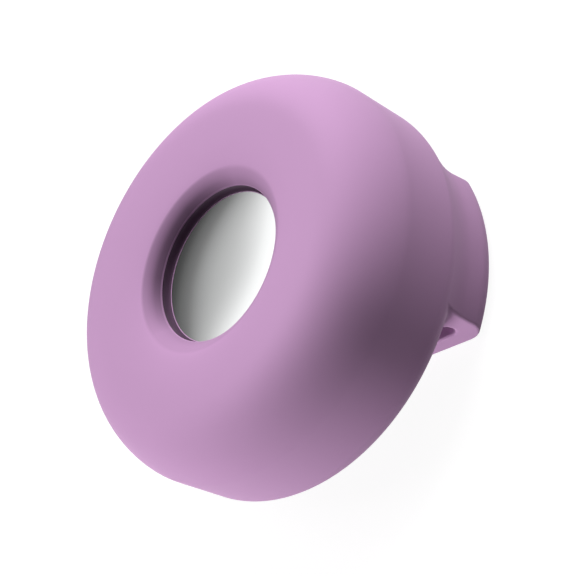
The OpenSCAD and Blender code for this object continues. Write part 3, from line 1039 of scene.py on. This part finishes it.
@dataclass
class TagCase:
    """The tag's polished steel dish and its white moulded cup. In millimetres."""

    wardrobe: Wardrobe
    tag_e: float = 3.5
    steel_t: float = 0.4
    rim_depth: float = 1.35
    shell_t: float = 0.9
    shell_step: float = 0.4
    edge_r: float = 0.12
    bevel: float = 0.05
    opening_gap: float = 0.1
    segments: int = 288

    def dish(self) -> bpy.types.Object:
        """The steel dish: a shallow dome with a turned-down rim."""
        radius, _, face = bounds_mm("battery_cover")[1]
        reach, middle, half = tag_shape()
        dome = quarter(reach, half, self.tag_e, 160)[::-1]
        dome = dome[dome[:, 0] < radius - self.edge_r] + (0, middle)
        top = float(dome[-1][1])
        edge = [(radius - self.edge_r + self.edge_r * math.sin(t),
                 top - self.edge_r + self.edge_r * math.cos(t))
                for t in np.linspace(0.35, math.pi / 2, 5)]
        foot, inside = face - self.rim_depth, radius - self.steel_t
        rim = [(radius, foot + self.bevel), (radius - self.bevel, foot),
               (inside + self.bevel, foot), (inside, foot + self.bevel)]
        inner = dome[::-1] - (0, self.steel_t)
        inner = inner[inner[:, 0] < inside]
        profile = polyline(dome, np.array(edge), np.array(rim), inner)
        verts, faces = spin(profile, self.segments, False)
        return make_mesh("steel_dish", verts, faces)

    def cup(self) -> bpy.types.Object:
        """The white cup: a domed back, rounded sides and a flat-lipped opening."""
        reach, middle, half = tag_shape()
        tray_low, tray_high = bounds_mm("battery_tray")
        opening = tray_high[0] + self.opening_gap
        arc = quarter(reach, half, self.tag_e, 72)
        front = arc[arc[:, 0] > opening + self.opening_gap] + (0, middle)
        back = arc * (1, -1) + (0, middle)
        step = tray_low[2] - self.bevel
        inner = quarter(reach - self.shell_t, half - self.shell_t, self.tag_e, 40)
        inner = inner * (1, -1) + (0, middle)
        seat = opening - self.shell_step
        inner = inner[inner[:, 0] < seat]
        lip = float(front[-1][1])
        rim = np.array([(opening + 0.03, lip - 0.02), (opening, lip - 0.08)])
        wall = polyline(stretch((opening, lip - 0.1), (opening, step), 8), np.array([(seat, step)]))
        profile = polyline(inner[::-1], wall[::-1], rim[::-1], front[::-1], back[1:])
        verts, faces = spin(profile, self.segments, False)
        return make_mesh("white_cup", verts, faces)

    def build(self) -> None:
        """Makes and places both pieces."""
        dish = self.dish()
        self.wardrobe.dress(dish, Part.STEEL)
        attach(dish, "cover")
        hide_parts("battery_cover")
        dish.visible_diffuse = False
        cup = self.cup()
        self.wardrobe.dress(cup, Part.WHITE)
        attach(cup, "tag")
        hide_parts("tag_shell")
        for piece in (dish, cup):
            log.info("%s: %d faces", piece.name, len(piece.data.polygons))


@dataclass
class TagInsides:
    """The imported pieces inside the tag, which keep their solids and take a better finish."""

    wardrobe: Wardrobe
    done: tuple[str, ...] = ("holder_body", "tag_shell", "battery_cover")

    def dress(self) -> None:
        """Gives each remaining node the finish of its slot."""
        slots = {s["node"]: s["material_slot"] for s in frame["record"]["subparts"]}
        for name, piece in frame["nodes"].items():
            if name not in self.done:
                self.wardrobe.dress(piece, Part(slots[name]))
                log.info("%s: %s", name, slots[name])


@dataclass(frozen=True)
class Lamp:
    """A soft square lamp that looks at the object."""

    name: str
    towards: tuple[float, float, float]
    watts: float
    side: float = 0.4
    distance: float = 0.6

    def build(self, target: Vector) -> None:
        """Adds the lamp.

        Args:
            target: The point that it looks at.
        """
        data = bpy.data.lights.new(self.name, "AREA")
        data.shape = "SQUARE"
        data.size = self.side
        data.energy = self.watts
        lamp = link(self.name, data)
        way = Vector(self.towards).normalized()
        lamp.location = target + way * self.distance
        lamp.rotation_mode = "QUATERNION"
        lamp.rotation_quaternion = way.to_track_quat("Z", "Y")
        lamp.visible_glossy = False


@dataclass(frozen=True)
class GlowingReflectionCard:
    """A glowing card beside the window, dark below and white above, that only polished faces mirror: a
    painted reflection, unseen by the camera and casting no light or shadow on other surfaces.
    """

    towards: tuple[float, float, float] = (-0.626, 0.505, 0.590)
    rise: tuple[float, float, float] = (0.58, -0.20, 0.79)
    distance: float = 80.0
    side: float = 200.0
    dark_end: float = -22.0
    white_end: float = 22.0
    strength: float = 1.3
    stops: tuple[tuple[float, float], ...] = ((0.0, 0.035), (0.16, 0.066), (0.34, 0.16), (0.52, 0.45),
                                              (0.70, 0.835), (0.86, 1.0))

    def build(self, window: Vector) -> None:
        """Adds the card.

        Args:
            window: The middle of the tag's face, in millimetres.
        """
        way = Vector(self.towards).normalized()
        rise = (Vector(self.rise) - way * way.dot(Vector(self.rise))).normalized()
        across = way.cross(rise)
        middle = window + way * self.distance
        half = self.side / 2
        card = make_mesh("glowing_reflection_card", np.array([middle + across * (i * half) + rise * (j * half)
                                                  for i, j in ((-1, -1), (1, -1), (1, 1), (-1, 1))]),
                         [(0, 1, 2, 3)])
        made, shader = new_material("glowing reflection card")
        height = shader.measure("DOT_PRODUCT", shader.place(), rise)
        low = (middle.dot(rise) + self.dark_end) * MM
        share = (height - low) / ((self.white_end - self.dark_end) * MM)
        surface = shader.add("ShaderNodeBsdfPrincipled", None, {
            "Base Color": (0, 0, 0, 1),
            "Specular IOR Level": 0.0,
            "Emission Color": shader.ramp(share, self.stops),
            "Emission Strength": self.strength,
        })
        shader.finish(surface)
        card.data.materials.append(made)
        # The glowing card only paints a reflection: camera, diffuse, transmission, volume and shadow
        # rays pass it by.
        for kind in ("camera", "diffuse", "transmission", "volume_scatter", "shadow"):
            setattr(card, "visible_" + kind, False)


@dataclass
class Studio:
    """Camera, lamps, floor and surroundings."""

    yaw: float = 44.64
    pitch: float = 29.74
    roll: float = 1.60
    focal_px: float = 2600.0
    sensor: float = 36.0
    fit_scale: float = 11.5
    px_per_mm: float = 8.394
    shift_x: float = -6.09
    shift_y: float = 2.18
    window_edge: float = 22.8
    ambient: float = 0.04
    floor_half: float = 3000.0
    floor_drop: float = 0.02
    floor_grey: float = 0.2
    floor_glow: float = 0.92
    floor_bounce: float = 0.25
    lamps: tuple[Lamp, ...] = (
        Lamp("top_key", (0.2, 0.6, 0.75), 2.6),
        Lamp("low_front_key", (-0.6, -0.8, 0.07), 3.15, side=0.15),
        Lamp("back_fill", (0.6, 0.75, 0.2), 1.8),
        Lamp("front_fill", (-0.45, 0.1, 0.9), 1.05),
    )

    def camera(self) -> None:
        """Places the camera as the photograph's, by its turn, tilt and roll."""
        data = bpy.data.cameras.new("camera")
        data.sensor_width = self.sensor
        data.lens = self.focal_px / IMAGE_SIDE * self.sensor
        data.clip_start, data.clip_end = 0.01, 20
        turn = (Matrix.Rotation(math.radians(self.roll), 3, "Z")
                @ Matrix.Rotation(-math.radians(self.pitch), 3, "X")
                @ Matrix.Rotation(-math.radians(self.yaw), 3, "Y"))
        away = Vector((self.shift_x, self.shift_y, -self.focal_px / self.fit_scale))
        away *= self.fit_scale / self.px_per_mm
        place = -(turn.transposed() @ away) + Vector((0, 0, self.window_edge))
        camera = link("camera", data)
        camera.matrix_world = Matrix.LocRotScale(place * MM, turn.transposed().to_quaternion(), None)
        bpy.context.scene.camera = camera

    def plain_rays(self, shader: Shader) -> Value:
        """1 for camera, glossy and transmitted rays, 0 for the rays that carry light to surfaces."""
        rays = [shader.add("ShaderNodeLightPath", output=name)
                for name in ("Is Camera Ray", "Is Glossy Ray", "Is Transmission Ray")]
        return shader.figure("MAXIMUM", shader.figure("MAXIMUM", rays[0], rays[1]), rays[2])

    def surroundings(self) -> None:
        """White surroundings to the eye and in metal, and a plain level of light for surfaces."""
        world = bpy.data.worlds.new("studio")
        bpy.context.scene.world = world
        world.use_nodes = True
        shader = Shader(world.node_tree)
        lit, seen = (shader.add("ShaderNodeBackground", None, {"Color": (1, 1, 1, 1), "Strength": level})
                     for level in (self.ambient, 1.0))
        both = shader.add("ShaderNodeMixShader", None, {0: self.plain_rays(shader), 1: lit, 2: seen})
        shader.finish(both, "World")

    def floor(self) -> None:
        """A pale floor that takes the object's shadow and sends little light back up."""
        corners = [(-1, -1, 0), (1, -1, 0), (1, 1, 0), (-1, 1, 0)]
        verts = np.array(corners) * self.floor_half - (0, 0, self.floor_drop)
        floor = make_mesh("floor", verts, [(0, 1, 2, 3)])
        made, shader = new_material("pale floor")
        pale, dim = (shader.add("ShaderNodeBsdfDiffuse", None, {"Color": (grey, grey, grey, 1)})
                     for grey in (self.floor_grey, self.floor_bounce))
        glow = shader.add("ShaderNodeEmission", None,
                          {"Color": (1, 1, 1, 1), "Strength": self.floor_glow})
        bright = shader.add("ShaderNodeAddShader", None, {0: pale, 1: glow})
        both = shader.add("ShaderNodeMixShader", None, {0: self.plain_rays(shader), 1: dim, 2: bright})
        clear = shader.add("ShaderNodeBsdfTransparent")
        under = shader.add("ShaderNodeNewGeometry", output="Backfacing")
        surface = shader.add("ShaderNodeMixShader", None, {0: under, 1: both, 2: clear})
        shader.finish(surface)
        floor.data.materials.append(made)

    def build(self) -> None:
        """Sets the whole studio."""
        self.camera()
        low, high = CAD_BOX
        target = (low + high) / 2
        for lamp in self.lamps:
            lamp.build(target)
        # A glowing card that paints the steel's dark-to-white reflection.
        GlowingReflectionCard().build(Vector((0, 0, bounds_mm("battery_cover")[1][2])))
        self.surroundings()
        self.floor()
        bpy.context.scene.view_settings.view_transform = "Standard"


def main() -> None:
    """Builds every piece in order."""
    logging.basicConfig(level=logging.INFO, format="%(message)s")
    Studio().build()
    wardrobe = Wardrobe()
    ring = SoftRing(wardrobe)
    ring.dress(ring.build())
    TagCase(wardrobe).build()
    TagInsides(wardrobe).dress()


if __name__ == "__main__":
    main()
